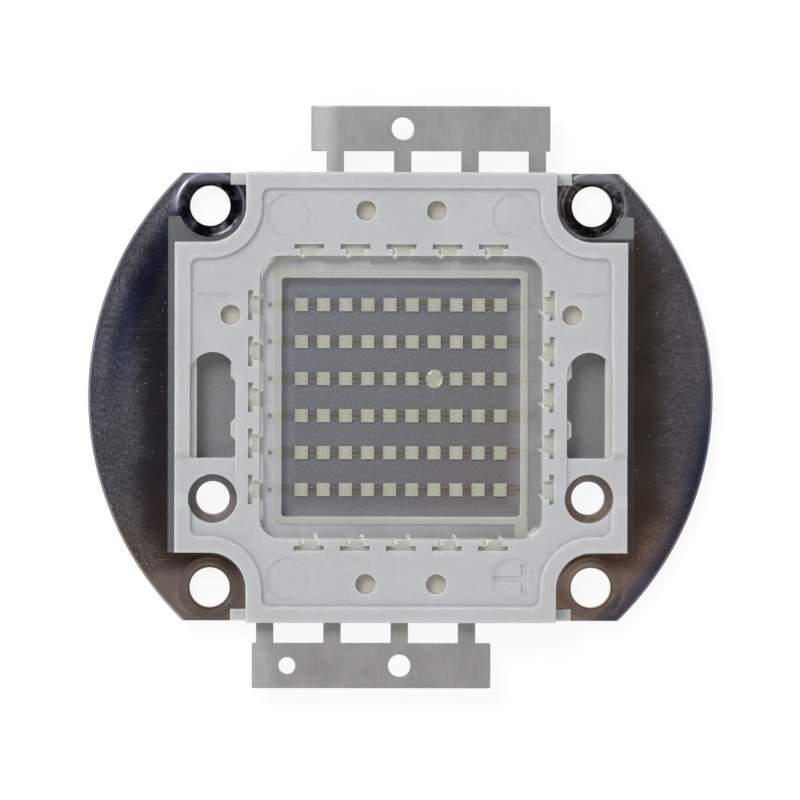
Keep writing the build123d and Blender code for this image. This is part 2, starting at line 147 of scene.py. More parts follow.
rough = add_node(tree, "Math", {"operation": "MULTIPLY_ADD", 2: MIRROR_ROUGHNESS},
                 {0: haze.outputs[0], 1: fainter.outputs[0]})
HAIR_LEVEL = 0.72
for turn, length, width in ((0.5, 1.6, 0.08), (-0.9, 2.2, 0.07), (1.75, 2.8, 0.09)):
    turned = add_node(tree, "Mapping", {"Rotation": (0, 0, turn),
                                        "Scale": (per_mm(length), per_mm(width), per_mm(5))}, {0: place})
    hair = add_node(tree, "TexNoise", {"Scale": 1.0, "Detail": 1.0}, {"Vector": turned.outputs[0]})
    hair = add_node(tree, "MapRange", {"From Min": HAIR_LEVEL, "From Max": HAIR_LEVEL + 0.06, "To Max": 0.14},
                    {"Value": hair.outputs[0]})
    rough = add_node(tree, "Math", {"operation": "ADD"}, {0: rough.outputs[0], 1: hair.outputs[0]})
grit = add_node(tree, "TexVoronoi", {"Scale": per_mm(0.8), "Randomness": 1.0}, {"Vector": place})
grit = add_node(tree, "MapRange", {"From Min": 0.12, "From Max": 0.05, "To Max": 0.3},
                {"Value": grit.outputs["Distance"]})
rough = add_node(tree, "Math", {"operation": "ADD"}, {0: rough.outputs[0], 1: grit.outputs[0]})

# Scuffs, as roughness too: round the upper screws, in blotches, and along the plate's edge above them.
upper = add_node(tree, "MapRange", {"From Min": -2 * MM, "From Max": 4 * MM, "To Min": 0.3},
                 {"Value": axes.outputs["Y"]})
scuff = add_node(tree, "TexNoise", {"Scale": per_mm(1.4), "Detail": 5.0, "Roughness": 0.65},
                 {"Vector": place})
scuff = add_node(tree, "MapRange", {"From Min": 0.46, "From Max": 0.72}, {"Value": scuff.outputs[0]})
top_edge = add_node(tree, "MapRange", {"interpolation_type": "SMOOTHSTEP", "From Min": 18.8 * MM,
                                       "From Max": 19.6 * MM}, {"Value": axes.outputs["Y"]})
scuff = add_node(tree, "Math", {"operation": "MAXIMUM"}, {0: scuff.outputs[0], 1: top_edge.outputs[0]})
by_screw = add_node(tree, "MapRange", {"From Min": 3.7 * MM, "From Max": 3.0 * MM}, {"Value": from_screw})
scuff = add_node(tree, "Math", {"operation": "MULTIPLY"}, {0: scuff.outputs[0], 1: by_screw.outputs[0]})
scuff = add_node(tree, "Math", {"operation": "MULTIPLY"}, {0: scuff.outputs[0], 1: upper.outputs[0]})
rough = add_node(tree, "Math", {"operation": "MULTIPLY_ADD", 1: 0.26},
                 {0: scuff.outputs[0], 2: rough.outputs[0]})

# Tone of the bright part, mostly painted reflection: bluish on the left, warmer on the right, brownish
# low down, darker round the upper screws, and a blue band along the upper left and the lower right edge
# are all painted reflection; greyer in the locating holes, and clouded at random.
# Painted reflection: the ears are tinted from bluish on the left to warmer on the right, like the room they
# mirror.
ear_tint = add_node(tree, "ValToRGB", links={"Fac": side.outputs[0]})
ear_tint.color_ramp.elements[0].color = linear("#A4AABA")
ear_tint.color_ramp.elements[1].color = linear("#BDB6B1")
ear_tint = add_node(tree, "Mix", {"data_type": "RGBA", 7: linear("#ABAEBC")},
                    {0: haze.outputs[0], 6: ear_tint.outputs[0]})
# Painted reflection: low down the ears are painted brownish pink, the warm lower room they would mirror.
low_reflection_tint = add_node(tree, "ValToRGB", links={"Fac": side.outputs[0]})
low_reflection_tint.color_ramp.elements[0].color = linear("#BCABA5")
low_reflection_tint.color_ramp.elements[1].color = linear("#E0C6B6")
low = add_node(tree, "MapRange", {"interpolation_type": "SMOOTHSTEP", "From Min": -6 * MM,
                                  "From Max": -14 * MM}, {"Value": axes.outputs["Y"]})
ear_tint = add_node(tree, "Mix", {"data_type": "RGBA"},
                    {0: low.outputs[0], 6: ear_tint.outputs[2], 7: low_reflection_tint.outputs[0]})
cloud = add_node(tree, "TexNoise", {"Scale": per_mm(6), "Detail": 5.0, "Roughness": 0.6},
                 {"Vector": place})
cloudy = add_node(tree, "Mix", {"data_type": "RGBA", "blend_type": "MULTIPLY", 7: linear("#85807F")},
                  {0: cloud.outputs[0], 6: ear_tint.outputs[2]})
# Painted reflection: a blue band along the upper left and the lower right edge, fainter where scuffed.
band_way = add_node(tree, "VectorMath", {"operation": "DOT_PRODUCT", 1: (-0.7, 0.7, 0)}, {0: place})
band_line = add_node(tree, "MapRange", {"From Min": -4 * MM, "From Max": 4 * MM, "To Min": 27.7 * MM,
                                         "To Max": 25.2 * MM}, {"Value": band_way.outputs["Value"]})
off_band = add_node(tree, "Math", {"operation": "SUBTRACT"}, {0: from_middle, 1: band_line.outputs[0]})
off_band = add_node(tree, "Math", {"operation": "ABSOLUTE"}, {0: off_band.outputs[0]})
blue_band = add_node(tree, "MapRange", {"interpolation_type": "SMOOTHSTEP", "From Min": 1.9 * MM,
                                    "From Max": 0.4 * MM}, {"Value": off_band.outputs[0]})
band_way = add_node(tree, "Math", {"operation": "ABSOLUTE"}, {0: band_way.outputs["Value"]})
band_end = add_node(tree, "MapRange", {"interpolation_type": "SMOOTHSTEP", "From Min": 15 * MM,
                                        "From Max": 23 * MM, "To Max": 0.85}, {"Value": band_way.outputs[0]})
blue_band = add_node(tree, "Math", {"operation": "MULTIPLY"}, {0: blue_band.outputs[0], 1: band_end.outputs[0]})
spared = add_node(tree, "Math", {"operation": "MULTIPLY_ADD", 1: -0.85, 2: 1.0}, {0: scuff.outputs[0]})
blue_band = add_node(tree, "Math", {"operation": "MULTIPLY"}, {0: blue_band.outputs[0], 1: spared.outputs[0]})
cloudy = add_node(tree, "Mix", {"data_type": "RGBA", "blend_type": "MULTIPLY", 7: linear("#8090C2")},
                  {0: blue_band.outputs[0], 6: cloudy.outputs[2]})
# Painted reflection: a darker disc round each upper screw stands for the dark that its dish mirrors.
ring = add_node(tree, "MapRange", {"From Min": (SCREW_DISH + 0.1) * MM, "From Max": (SCREW_DISH - 0.15) * MM},
                {"Value": from_screw})
ring = add_node(tree, "Math", {"operation": "MULTIPLY"}, {0: ring.outputs[0], 1: upper.outputs[0]})
ring = add_node(tree, "Math", {"operation": "MULTIPLY"}, {0: ring.outputs[0], 1: spared.outputs[0]})
ringed = add_node(tree, "Mix", {"data_type": "RGBA", "blend_type": "MULTIPLY", 7: linear("#7C7876")},
                  {0: ring.outputs[0], 6: cloudy.outputs[2]})
peg_ring = add_node(tree, "Math", {"operation": "LESS_THAN", 1: (PEG_DISH + 0.2) * MM}, {0: from_peg})
ringed = add_node(tree, "Mix", {"data_type": "RGBA", "blend_type": "MULTIPLY", 7: linear("#FCF8F2")},
                  {0: peg_ring.outputs[0], 6: ringed.outputs[2]})

# Tone of the satin part: a random grain of greys, painted a little darker under the silicone than under
# the side slots, bluer towards the upper left and warmer towards the lower right, and lighter near the lip:
# painted shade and painted reflection.
satin_tone = add_node(tree, "TexNoise", {"Scale": per_mm(0.3), "Detail": 4.0, "Roughness": 0.8},
                      {"Vector": place})
satin_tint = add_node(tree, "ValToRGB", links={"Fac": satin_tone.outputs[0]})
satin_tint.color_ramp.elements[0].position = 0.3
satin_tint.color_ramp.elements[0].color = linear("#888A8E")
satin_tint.color_ramp.elements[1].position = 0.7
satin_tint.color_ramp.elements[1].color = linear("#A1A0A0")
FIELD_EDGE = 10.7
off_centre = add_node(tree, "Math", {"operation": "MAXIMUM"},
                      {0: folded_axes.outputs["X"], 1: folded_axes.outputs["Y"]})
field = add_node(tree, "MapRange", {"From Min": (FIELD_EDGE + 0.2) * MM, "From Max": FIELD_EDGE * MM},
                 {"Value": off_centre.outputs[0]}).outputs[0]
# Painted shade and reflection: under the silicone the satin is painted darker, bluer and warmer by corner.
corner_way = add_node(tree, "VectorMath", {"operation": "DOT_PRODUCT", 1: (0.7, -0.7, 0)}, {0: place})
warmth = add_node(tree, "MapRange", {"From Min": -10 * MM, "From Max": 10 * MM},
                  {"Value": corner_way.outputs["Value"]})
field_painted_light = add_node(tree, "ValToRGB", links={"Fac": warmth.outputs[0]})
field_painted_light.color_ramp.elements[0].color = (0.8, 0.84, 0.95, 1.0)
field_painted_light.color_ramp.elements[1].color = (0.78, 0.73, 0.77, 1.0)
# Painted reflection: lighter near the lip, where its lit walls would show in the satin.
lip_reflection_lift = add_node(tree, "MapRange", {"interpolation_type": "SMOOTHSTEP", "From Min": (FIELD_EDGE - 1.6) * MM,
                                     "From Max": FIELD_EDGE * MM, "To Min": 1.0, "To Max": 1.5},
                  {"Value": off_centre.outputs[0]})
field_painted_light = add_node(tree, "VectorMath", {"operation": "SCALE"},
                      {0: field_painted_light.outputs[0], "Scale": lip_reflection_lift.outputs[0]})
satin_tint = add_node(tree, "Mix", {"data_type": "RGBA", "blend_type": "MULTIPLY"},
                      {0: field, 6: satin_tint.outputs[0], 7: field_painted_light.outputs[0]})

# Along each row of dies the satin is painted browner and darker, a painted shadow and reflection of the
# gold wires.
ROW_PITCH = 3.31
across_row = add_node(tree, "Math", {"operation": "PINGPONG", 1: ROW_PITCH / 2 * MM},
                      {0: axes.outputs["Y"]})
painted_wire_shade = add_node(tree, "MapRange", {"interpolation_type": "SMOOTHSTEP", "From Min": (ROW_PITCH / 2 - 0.7) * MM,
                                   "From Max": (ROW_PITCH / 2 - 0.2) * MM, "To Max": 0.6},
                {"Value": across_row.outputs[0]})
painted_wire_shade = add_node(tree, "Math", {"operation": "MULTIPLY"}, {0: painted_wire_shade.outputs[0], 1: field})
satin_tint = add_node(tree, "Mix", {"data_type": "RGBA", "blend_type": "MULTIPLY", 7: linear("#D2C9B6")},
                      {0: painted_wire_shade.outputs[0], 6: satin_tint.outputs[2]})

# The strips of satin beside the frame are tinted darker, the right one more and browner, and so are its
# corners but for the upper right one.
strip = add_node(tree, "MapRange", {"From Min": 19.6 * MM, "From Max": 19.9 * MM},
                 {"Value": folded_axes.outputs["X"]})
corner = add_node(tree, "MapRange", {"From Min": 13.0 * MM, "From Max": 13.3 * MM},
                  {"Value": folded_axes.outputs["Y"]})
strip = add_node(tree, "Math", {"operation": "MAXIMUM"}, {0: strip.outputs[0], 1: corner.outputs[0]})
clean_way = add_node(tree, "VectorMath", {"operation": "MINIMUM"},
                     {0: place, 1: add_node(tree, "CombineXYZ", {0: 1.0}, {1: axes.outputs["X"]}).outputs[0]})
clean_way = add_node(tree, "SeparateXYZ", links={0: clean_way.outputs[0]})
clean = add_node(tree, "MapRange", {"From Min": 14.3 * MM, "From Max": 14.1 * MM},
                 {"Value": clean_way.outputs["Y"]})
strip = add_node(tree, "Math", {"operation": "MULTIPLY"}, {0: strip.outputs[0], 1: clean.outputs[0]})
strip_darkening = add_node(tree, "ValToRGB", links={"Fac": side.outputs[0]})
strip_darkening.color_ramp.elements[0].color = linear("#CFD0D4")
strip_darkening.color_ramp.elements[1].color = linear("#968F8D")
satin_tint = add_node(tree, "Mix", {"data_type": "RGBA", "blend_type": "MULTIPLY"},
                      {0: strip.outputs[0], 6: satin_tint.outputs[2], 7: strip_darkening.outputs[0]})
tint = add_node(tree, "Mix", {"data_type": "RGBA"},
                {0: bright, 6: satin_tint.outputs[2], 7: ringed.outputs[2]})
tree.links.new(tint.outputs[2], shader.inputs["Base Color"])

# The two lower corners are worn to a satin, the locating holes' seats are uneven, and the middle is
# plated satin.
SATIN_ROUGHNESS, WORN_ROUGHNESS = 0.5, 0.35
worn = add_node(tree, "MapRange", {"interpolation_type": "SMOOTHSTEP", "From Min": -13 * MM,
                                   "From Max": -16.5 * MM}, {"Value": axes.outputs["Y"]})
worn = add_node(tree, "Math", {"operation": "MULTIPLY", 1: WORN_ROUGHNESS}, {0: worn.outputs[0]})
rough = add_node(tree, "Math", {"operation": "MAXIMUM"}, {0: rough.outputs[0], 1: worn.outputs[0]})
peg_rough = add_node(tree, "MapRange", {"From Min": 0.3, "From Max": 0.7, "To Min": 0.25, "To Max": 0.55},
                     {"Value": satin_tone.outputs[0]})
rough = add_node(tree, "Mix", {"data_type": "FLOAT"},
                 {0: peg_ring.outputs[0], 2: rough.outputs[0], 3: peg_rough.outputs[0]})
rough = add_node(tree, "Mix", {"data_type": "FLOAT", 2: SATIN_ROUGHNESS},
                 {0: bright, 3: rough.outputs[0]})
tree.links.new(rough.outputs[0], shader.inputs["Roughness"])

# Heights, in millimetres: the press's roll at the edge, a dish and a raised ring round each hole, a
# slow warp and fine grain.
past_rim = add_node(tree, "Math", {"operation": "SUBTRACT", 1: PLATE_RADIUS * MM}, {0: from_middle})
past_flat = add_node(tree, "Math", {"operation": "SUBTRACT", 1: PLATE_HALF * MM},
                     {0: folded_axes.outputs["Y"]})
past = add_node(tree, "Math", {"operation": "MAXIMUM"}, {0: past_rim.outputs[0], 1: past_flat.outputs[0]})
level = add_node(tree, "MapRange", {"interpolation_type": "SMOOTHSTEP", "From Min": -1.7 * MM,
                                    "From Max": -0.4 * MM, "To Max": -0.05}, {"Value": past.outputs[0]})
for distance, rim, reach, drop in ((from_screw, SCREW_RADIUS, SCREW_DISH, -0.1),
                                   (from_peg, PEG_RADIUS, PEG_DISH, -0.05)):
    dish = add_node(tree, "MapRange", {"From Min": reach * MM, "From Max": rim * MM}, {"Value": distance})
    dish = add_node(tree, "Math", {"operation": "POWER", 1: 2.0}, {0: dish.outputs[0]})
    level = add_node(tree, "Math", {"operation": "MULTIPLY_ADD", 1: drop},
                     {0: dish.outputs[0], 2: level.outputs[0]})
RIDGE_RADIUS = 2.82
off_ridge = add_node(tree, "Math", {"operation": "SUBTRACT", 1: RIDGE_RADIUS * MM}, {0: from_screw})
off_ridge = add_node(tree, "Math", {"operation": "ABSOLUTE"}, {0: off_ridge.outputs[0]})
ridge = add_node(tree, "MapRange", {"interpolation_type": "SMOOTHSTEP", "From Min": 0.36 * MM,
                                    "From Max": 0.0, "To Max": 0.045}, {"Value": off_ridge.outputs[0]})
level = add_node(tree, "Math", {"operation": "MULTIPLY_ADD"},
                 {0: ridge.outputs[0], 1: upper.outputs[0], 2: level.outputs[0]})
warp = add_node(tree, "TexNoise", {"Scale": per_mm(9), "Detail": 2.0}, {"Vector": place})
level = add_node(tree, "Math", {"operation": "MULTIPLY_ADD", 1: 0.16},
                 {0: warp.outputs[0], 2: level.outputs[0]})
peel = add_node(tree, "TexNoise", {"Scale": per_mm(0.3), "Detail": 4.0, "Roughness": 0.7},
                {"Vector": place})
level = add_node(tree, "Math", {"operation": "MULTIPLY_ADD", 1: 0.006},
                 {0: peel.outputs[0], 2: level.outputs[0]})
bump = add_node(tree, "Bump", {"Strength": 1.0, "Distance": MM}, {"Height": level.outputs[0]})
tree.links.new(bump.outputs[0], shader.inputs["Normal"])
dress(["base_plate"], nickel)


# Leads: two tinned brass stampings, each a tab with its legs and half of the ring under the
# window's ledge, set into the frame when it is moulded. Shearing rounded the edges of the tab and
# of its holes over, and bent its left end down a little.

# Tinned brass: a dull, greyish metal, cloudy and faintly brushed along the strip. It is warmer on the
# tabs, and under the silicone it is painted lighter and bluer on the left and darker on the right, a
# painted light and reflection.
tinned, shader, tree, place = new_material("tinned_brass_strip", "#B4B4B0", 0.4, 1.0)
axes = add_node(tree, "SeparateXYZ", links={0: place})
dull = add_node(tree, "TexNoise", {"Scale": per_mm(3.2), "Detail": 6.0, "Roughness": 0.6},
                {"Vector": place})
brushed = add_node(tree, "Mapping", {"Scale": (per_mm(0.14), per_mm(1.6), per_mm(2))}, {0: place})
brushed = add_node(tree, "TexNoise", {"Scale": 1.0, "Detail": 4.0}, {"Vector": brushed.outputs[0]})
blend = add_node(tree, "Mix", {"data_type": "FLOAT", 0: 0.4}, {2: dull.outputs[0], 3: brushed.outputs[0]})
tint = add_node(tree, "ValToRGB", links={"Fac": blend.outputs[0]})
tint.color_ramp.elements[0].position = 0.3
tint.color_ramp.elements[0].color = linear("#BDBEC3")
tint.color_ramp.elements[1].position = 0.7
tint.color_ramp.elements[1].color = linear("#CFD0D3")
up_or_down = add_node(tree, "Math", {"operation": "ABSOLUTE"}, {0: axes.outputs["Y"]}).outputs[0]
on_tab = add_node(tree, "MapRange", {"From Min": 19 * MM, "From Max": 20 * MM}, {"Value": up_or_down})
# Painted light and reflection: the ledge under the silicone is painted brightest on the left, darkest on the
# right.
across = add_node(tree, "MapRange", {"From Min": -12 * MM, "From Max": 12 * MM},
                  {"Value": axes.outputs["X"]})
ledge_light_and_tab_tint = add_node(tree, "ValToRGB", links={"Fac": across.outputs[0]})
ledge_light_and_tab_tint.color_ramp.elements[0].color = (1.1, 1.1, 1.14, 1.0)
ledge_light_and_tab_tint.color_ramp.elements[1].color = (0.74, 0.74, 0.72, 1.0)
ledge_light_and_tab_tint = add_node(tree, "Mix", {"data_type": "RGBA", 7: linear("#DBD9D1")},
                 {0: on_tab.outputs[0], 6: ledge_light_and_tab_tint.outputs[0]})
tint = add_node(tree, "Mix", {"data_type": "RGBA", "blend_type": "MULTIPLY", 0: 1.0},
                {6: tint.outputs[0], 7: ledge_light_and_tab_tint.outputs[2]})

# On the left ledge, a dark spot where each pair of wires ends.
WIRE_END_X, WIRE_END_REACH = -11.75, 0.3
across_row = add_node(tree, "Math", {"operation": "PINGPONG", 1: ROW_PITCH / 2 * MM},
                      {0: axes.outputs["Y"]})
across_row = add_node(tree, "Math", {"operation": "SUBTRACT", 0: ROW_PITCH / 2 * MM},
                      {1: across_row.outputs[0]})
along_row = add_node(tree, "Math", {"operation": "SUBTRACT", 1: WIRE_END_X * MM}, {0: axes.outputs["X"]})
wire_end_spot = add_node(tree, "CombineXYZ", links={0: along_row.outputs[0], 1: across_row.outputs[0]})
wire_end_spot = add_node(tree, "VectorMath", {"operation": "LENGTH"}, {0: wire_end_spot.outputs[0]})
wire_end_spot = add_node(tree, "MapRange", {"interpolation_type": "SMOOTHSTEP", "From Min": WIRE_END_REACH * MM,
                                     "From Max": 0.05 * MM, "To Max": 0.75},
                  {"Value": wire_end_spot.outputs["Value"]})
by_rows = add_node(tree, "Math", {"operation": "LESS_THAN", 1: 3 * ROW_PITCH * MM}, {0: up_or_down})
wire_end_spot = add_node(tree, "Math", {"operation": "MULTIPLY"}, {0: wire_end_spot.outputs[0], 1: by_rows.outputs[0]})
tint = add_node(tree, "Mix", {"data_type": "RGBA", "blend_type": "MULTIPLY", 7: linear("#7D7F78")},
                {0: wire_end_spot.outputs[0], 6: tint.outputs[2]})
tree.links.new(tint.outputs[2], shader.inputs["Base Color"])
rough = add_node(tree, "MapRange", {"From Min": 0.3, "From Max": 0.7, "To Min": 0.46, "To Max": 0.54},
                 {"Value": blend.outputs[0]})
tree.links.new(rough.outputs[0], shader.inputs["Roughness"])

# The bend of each tab's left end, and the metal's fine unevenness, as heights in millimetres.
UPPER_END, LOWER_END, BEND = -8.1, -13.44, 2.6
UPPER_DROP, LOWER_DROP = -0.6, -0.42
upper = add_node(tree, "Math", {"operation": "GREATER_THAN", 1: 0.0}, {0: axes.outputs["Y"]})
tab_end = add_node(tree, "Math", {"operation": "MULTIPLY_ADD", 1: (UPPER_END - LOWER_END) * MM,
                                  2: LOWER_END * MM}, {0: upper.outputs[0]})
along = add_node(tree, "Math", {"operation": "SUBTRACT"}, {0: axes.outputs["X"], 1: tab_end.outputs[0]})
bend = add_node(tree, "MapRange", {"From Min": BEND * MM, "From Max": 0.0}, {"Value": along.outputs[0]})
bend = add_node(tree, "Math", {"operation": "POWER", 1: 2.0}, {0: bend.outputs[0]})
bend = add_node(tree, "Math", {"operation": "MULTIPLY"}, {0: bend.outputs[0], 1: on_tab.outputs[0]})
drop = add_node(tree, "Math", {"operation": "MULTIPLY_ADD", 1: UPPER_DROP - LOWER_DROP, 2: LOWER_DROP},
                {0: upper.outputs[0]})
level = add_node(tree, "Math", {"operation": "MULTIPLY"}, {0: bend.outputs[0], 1: drop.outputs[0]})
level = add_node(tree, "Math", {"operation": "MULTIPLY_ADD", 1: 0.01},
                 {0: blend.outputs[0], 2: level.outputs[0]})
bump = add_node(tree, "Bump", {"Strength": 1.0, "Distance": MM}, {"Height": level.outputs[0]})
tree.links.new(bump.outputs[0], shader.inputs["Normal"])
EDGE_ROLL, FRAME_HALF = 0.09, 20.1


def finish_piece(work, name, material, replaced, smooth=True):
    """Makes the mesh a piece of the object, in place of the CAD nodes that it stands for."""
    bmesh.ops.recalc_face_normals(work, faces=work.faces)
    mesh = bpy.data.meshes.new(name)
    work.to_mesh(mesh)
    work.free()
    mesh.materials.append(material)
    for face in mesh.polygons:
        face.use_smooth = smooth
    piece = bpy.data.objects.new(name, mesh)
    bpy.context.scene.collection.objects.link(piece)
    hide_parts(*replaced)
    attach(piece, "root")
    return piece


for name in ("lead_upper", "lead_lower"):
    work = bmesh.new()
    work.from_mesh(nodes[name].data)
    bmesh.ops.remove_doubles(work, verts=work.verts, dist=0.001 * MM)
    bmesh.ops.dissolve_limit(work, angle_limit=math.radians(1), verts=work.verts, edges=work.edges)
    top = max(v.co.z for v in work.verts) - 0.01 * MM
    rolled = [e for e in work.edges if min(v.co.z for v in e.verts) > top
              and min(abs(v.co.y) for v in e.verts) > FRAME_HALF * MM and e.calc_face_angle(0) > 1]
    bmesh.ops.bevel(work, geom=rolled, offset=EDGE_ROLL * MM, segments=3, profile=0.5,
                    affect="EDGES", clamp_overlap=True, material=-1)
    finish_piece(work, f"rolled_{name}", tinned, [name], smooth=False)


# Housing: one moulding of white glass filled polyphthalamide, shot over the plate and the leads. The
# skin is matte with a fine grain, a little uneven where the melt met. The plastic lets light through,
# which softens its shadows; that light is also painted into its colour by height, so the locks and the
# pits are painted paler and creamier, and the lip creamier and a little darker.
plastic, shader, tree, place = new_material("moulded_white_polyphthalamide", "#B8BABC", 0.48)
flow = add_node(tree, "TexNoise", {"Scale": per_mm(7), "Detail": 4.0, "Roughness": 0.6}, {"Vector": place})
skin = add_node(tree, "ValToRGB", links={"Fac": flow.outputs[0]})
skin.color_ramp.elements[0].position = 0.3
skin.color_ramp.elements[0].color = linear("#B7BABA")
skin.color_ramp.elements[1].position = 0.7
skin.color_ramp.elements[1].color = linear("#BDBEC0")
fleck = add_node(tree, "TexNoise", {"Scale": per_mm(0.5), "Detail": 3.0, "Roughness": 0.7},
                 {"Vector": place})
fleck = add_node(tree, "MapRange", {"From Min": 0.35, "From Max": 0.65, "To Min": 0.97, "To Max": 1.02},
                 {"Value": fleck.outputs[0]})
skin = add_node(tree, "Mix", {"data_type": "RGBA", "blend_type": "MULTIPLY", 0: 1.0},
                {6: skin.outputs[0], 7: fleck.outputs[0]})
height = add_node(tree, "SeparateXYZ", links={0: place}).outputs["Z"]

# Painted light: how much paler each height of the plastic is painted, standing for light that passes
# through it, in millimetres above the plate's underside.
LOWEST, HIGHEST = 1.5, 4.5
depth = add_node(tree, "MapRange", {"From Min": LOWEST * MM, "From Max": HIGHEST * MM}, {"Value": height})
painted_glow_by_height = add_node(tree, "ValToRGB", links={"Fac": depth.outputs[0]})
stops = painted_glow_by_height.color_ramp.elements
for stop, gain in ((2.1, (1.0, 1.0, 1.0)), (2.7, (0.94, 0.93, 0.87)), (2.8, (0.94, 0.93, 0.87)),
                   (2.95, (1.2, 1.13, 0.99)), (3.1, (1.2, 1.13, 0.99)), (3.4, (1.06, 1.05, 0.97)),
                   (3.46, (1.06, 1.05, 0.97)), (3.5, (1.0, 1.03, 0.97)), (3.54, (1.4, 1.4, 1.28)),
                   (3.66, (1.35, 1.35, 1.25)), (3.72, (1.0, 1.0, 1.0))):
    stops.new((stop - LOWEST) / (HIGHEST - LOWEST)).color = (*gain, 1.0)
stops.remove(stops[0])
stops.remove(stops[-1])

# Only inside the frame: the outer walls and the scoops round the screws keep the skin's own tone.
OUTER_WALL, SCOOP = 19.0, 13.3
folded = add_node(tree, "VectorMath", {"operation": "ABSOLUTE"}, {0: place})
folded = add_node(tree, "SeparateXYZ", links={0: folded.outputs[0]})
inside = []
for operation, limit in (("MAXIMUM", OUTER_WALL), ("MINIMUM", SCOOP)):
    reach = add_node(tree, "Math", {"operation": operation},
                     {0: folded.outputs["X"], 1: folded.outputs["Y"]})
    inside.append(add_node(tree, "Math", {"operation": "LESS_THAN", 1: limit * MM}, {0: reach.outputs[0]}))
within = add_node(tree, "Math", {"operation": "MULTIPLY"},
                  {0: inside[1].outputs[0], 1: inside[0].outputs[0]})
skin = add_node(tree, "Mix", {"data_type": "RGBA", "blend_type": "MULTIPLY"},
                {0: within.outputs[0], 6: skin.outputs[2], 7: painted_glow_by_height.outputs[0]})
tree.links.new(skin.outputs[2], shader.inputs["Base Color"])
grain = add_node(tree, "TexNoise", {"Scale": per_mm(0.16), "Detail": 3.0}, {"Vector": place})
bump = add_node(tree, "Bump", {"Strength": 0.5, "Distance": 0.008 * MM}, {"Height": grain.outputs[0]})
tree.links.new(bump.outputs[0], shader.inputs["Normal"])
shader.inputs["Subsurface Weight"].default_value = 1.0
shader.inputs["Subsurface Radius"].default_value = (1.0, 0.96, 0.84)
shader.inputs["Subsurface Scale"].default_value = 1.0 * MM
dress(["housing_frame"], plastic)


# Dies: sixty ultraviolet LED chips of 45 mil, sawn from a wafer and set in ten columns and six rows
# on silver filled paste. Each has its own shade, from pale green to pink, and a fine etched grain.
die_chip, shader, tree, place = new_material("etched_led_die", "#B3B4A6", 0.55)
ROWS, COLUMNS, COLUMN_PITCH = 6, 10, 1.98
cell = add_node(tree, "VectorMath", {"operation": "DIVIDE", 1: (COLUMN_PITCH * MM, ROW_PITCH * MM, 1)},
                {0: place})
cell = add_node(tree, "VectorMath", {"operation": "FLOOR"}, {0: cell.outputs[0]})
shade = add_node(tree, "TexWhiteNoise", links={"Vector": cell.outputs[0]})
chip = add_node(tree, "ValToRGB", links={"Fac": shade.outputs["Value"]})
chip.color_ramp.elements[0].color = linear("#A9AB9F")
chip.color_ramp.elements[1].color = linear("#B1ADA6")
middle_shade = chip.color_ramp.elements.new(0.55)
middle_shade.color = linear("#ADAEA2")
etch = add_node(tree, "TexNoise", {"Scale": per_mm(0.14), "Detail": 3.0, "Roughness": 0.7},
                {"Vector": place})
etch = add_node(tree, "MapRange", {"From Min": 0.3, "From Max": 0.7, "To Min": 0.9, "To Max": 1.06},
                {"Value": etch.outputs[0]})
chip = add_node(tree, "Mix", {"data_type": "RGBA", "blend_type": "MULTIPLY", 0: 1.0},
                {6: chip.outputs[0], 7: etch.outputs[0]})
tree.links.new(chip.outputs[2], shader.inputs["Base Color"])
bump = add_node(tree, "Bump", {"Strength": 0.5, "Distance": 0.01 * MM}, {"Height": etch.outputs[0]})
tree.links.new(bump.outputs[0], shader.inputs["Normal"])
dress([f"led_dies_row_{row + 1}" for row in range(ROWS)], die_chip)

# Silver filled paste: a grainy grey seam that shows as a thin dark line under each die.
paste, shader, tree, place = new_material("silver_filled_paste", "#A8A6A2", 0.6, 0.6)
lumps = add_node(tree, "TexNoise", {"Scale": per_mm(0.12), "Detail": 3.0}, {"Vector": place})
tint = add_node(tree, "ValToRGB", links={"Fac": lumps.outputs[0]})
tint.color_ramp.elements[0].color = linear("#8C8A86")
tint.color_ramp.elements[1].color = linear("#BAB8B4")
tree.links.new(tint.outputs[0], shader.inputs["Base Color"])
dress([f"die_attach_row_{row + 1}" for row in range(ROWS)], paste)


# Bond wires: fine drawn gold, two from each die to the next and two over the lip to the lead at each
# end of a row. Each has a ball on its first bond and a pressed stitch on its second. Under the
# silicone they show as pale brown threads. Sizes in millimetres.
gold, shader, tree, place = new_material("drawn_gold_wire", "#D8B66A", 0.5, 1.0)
draw_lines = add_node(tree, "TexNoise", {"Scale": per_mm(0.08), "Detail": 2.0}, {"Vector": place})
tint = add_node(tree, "ValToRGB", links={"Fac": draw_lines.outputs[0]})
tint.color_ramp.elements[0].color = linear("#AA9268")
tint.color_ramp.elements[1].color = linear("#CFBB8C")
tree.links.new(tint.outputs[0], shader.inputs["Base Color"])
WIRE_RADIUS, BALL_RADIUS, WIRE_SPREAD = 0.015, 0.035, 0.42
DIE_TOP, BOND_OUT, LINK_RISE, LINK_LEAN = 1.68, 0.365, 0.33, 0.5
LEDGE_TOP, LEDGE_BOND, LEDGE_RISE, LEDGE_LEAN = 2.6, 12.005, 0.95, 0.25


